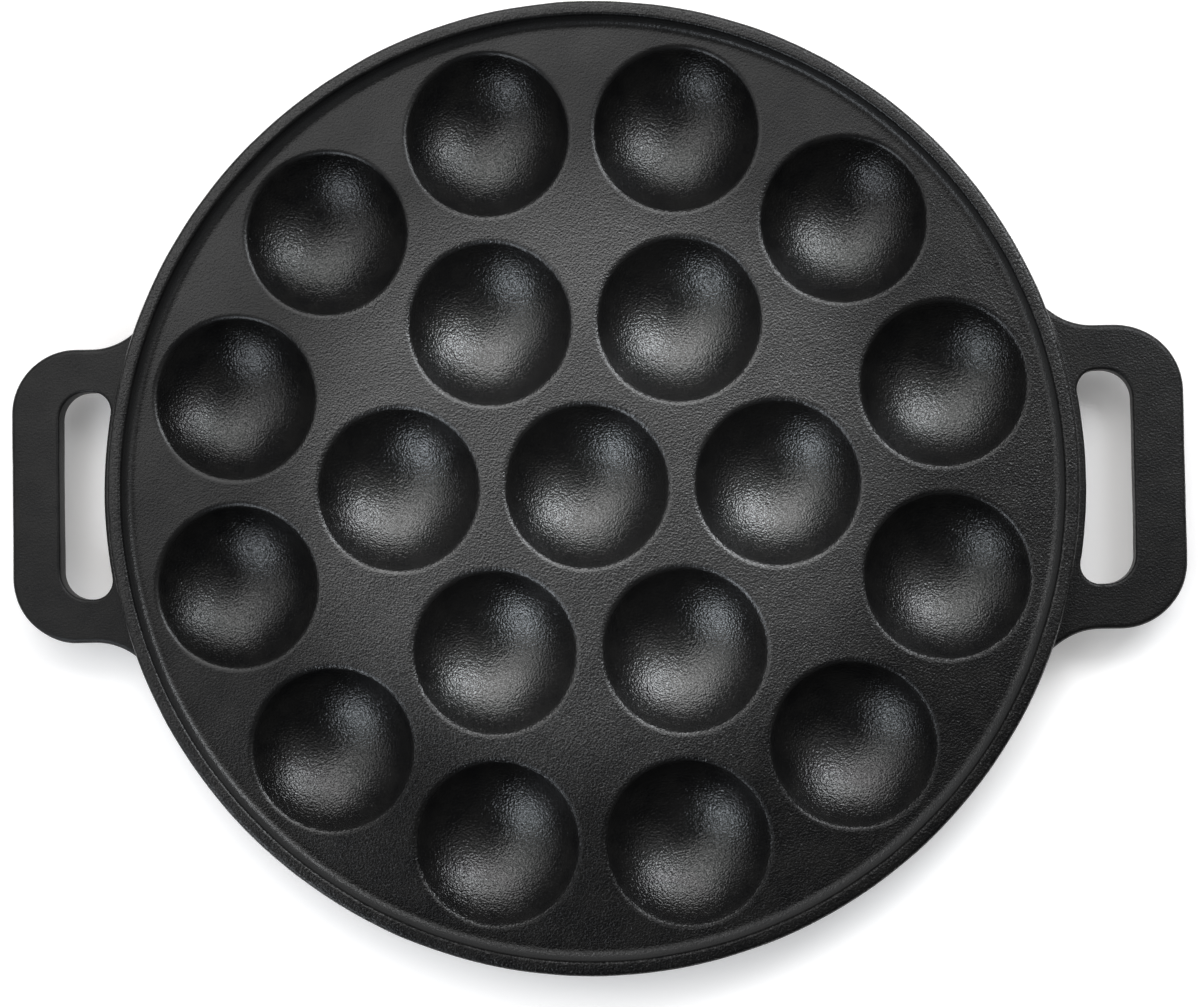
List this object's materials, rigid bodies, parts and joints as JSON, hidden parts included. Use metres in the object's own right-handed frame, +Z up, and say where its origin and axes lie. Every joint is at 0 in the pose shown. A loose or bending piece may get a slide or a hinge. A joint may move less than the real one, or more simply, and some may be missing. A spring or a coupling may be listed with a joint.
{
  "type": "poffertjes pan",
  "caption": "Round cast-iron pan with ball-shaped wells for small puffed pancakes, a low rim and two flat loop handles.",
  "frame": {"origin": "centre of the pan, on the table that it stands on", "axes": "+Z up, along the pan's axis; X runs through the two handles"},
  "size_m": [0.3162, 0.2598, 0.0206],
  "materials": {
    "cast_iron": "black seasoned iron, satin, with a fine sand-cast grain"
  },
  "bodies": {
    "root": {"pan_casting": "cast_iron"}
  },
  "joints": []
}
